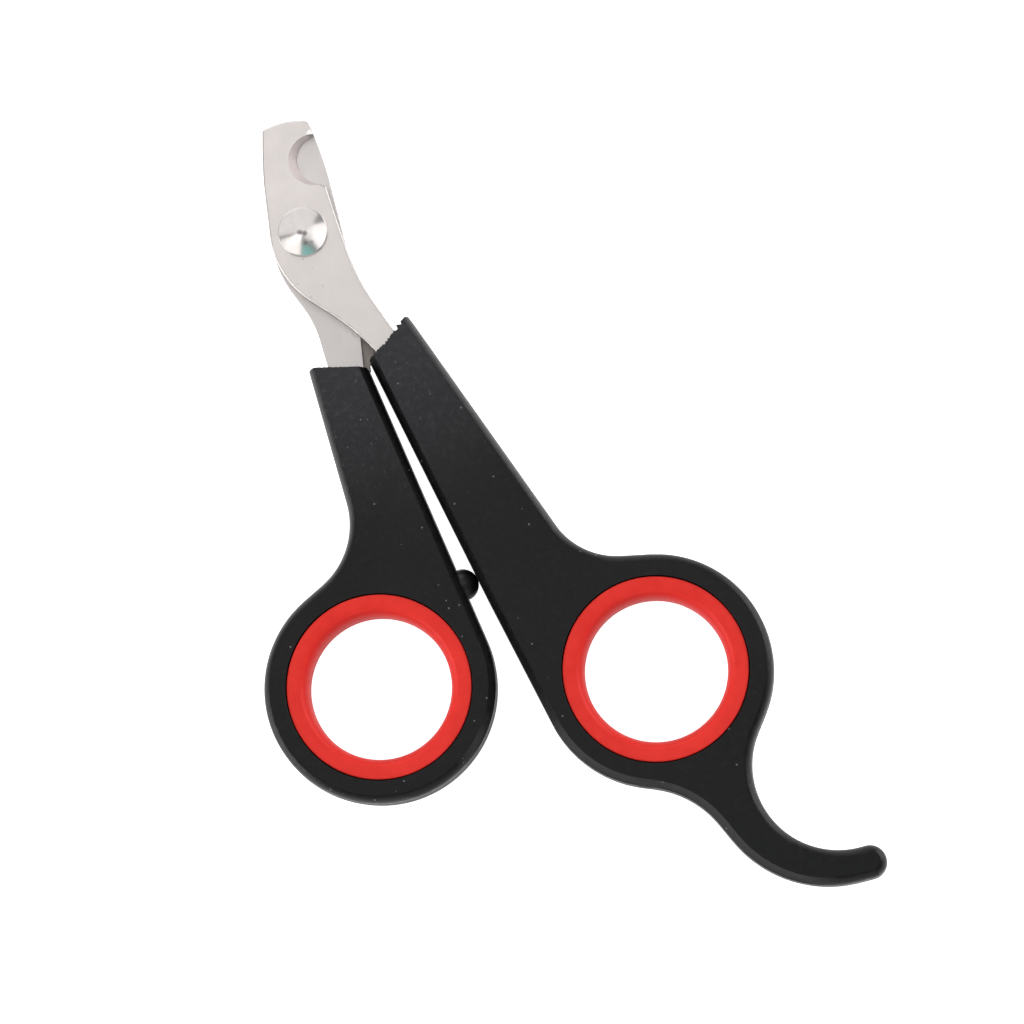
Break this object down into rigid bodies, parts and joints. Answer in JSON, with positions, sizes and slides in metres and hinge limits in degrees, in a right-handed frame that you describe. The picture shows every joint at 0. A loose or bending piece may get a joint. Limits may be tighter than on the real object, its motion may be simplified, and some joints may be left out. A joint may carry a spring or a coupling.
{
  "type": "scissor nail clipper",
  "caption": "Scissor-style nail clipper for small pets: notched crossing blades on a rivet, moulded finger-ring handles with soft ring liners and a little-finger hook.",
  "frame": {"origin": "on the rivet's axis, at the flat rear face of the rivet, which is level with the underside of the handles", "axes": "+Y along the closed jaws towards the tips, +X towards the long handle's side, +Z along the rivet's axis towards its head"},
  "size_m": [0.0691, 0.1309, 0.007],
  "materials": {
    "blade_steel": "satin ground",
    "polished_steel": "polished",
    "handle_plastic": "fine matte texture",
    "red_rubber": "satin",
    "black_rubber": "satin"
  },
  "bodies": {
    "long_half": {"long_handle": "handle_plastic", "upper_blade": "blade_steel", "pivot_rivet": "polished_steel", "pivot_washer": "polished_steel", "long_ring_insert": "red_rubber"},
    "short_half": {"short_handle": "handle_plastic", "lower_blade": "blade_steel", "short_ring_insert": "red_rubber", "bumper": "black_rubber"}
  },
  "joints": [
    {"name": "pivot", "type": "hinge", "parent": "long_half", "child": "short_half", "pos_m": [0, 0, 0], "axis": [0, 0, -1], "range_deg": [0, 45]}
  ]
}
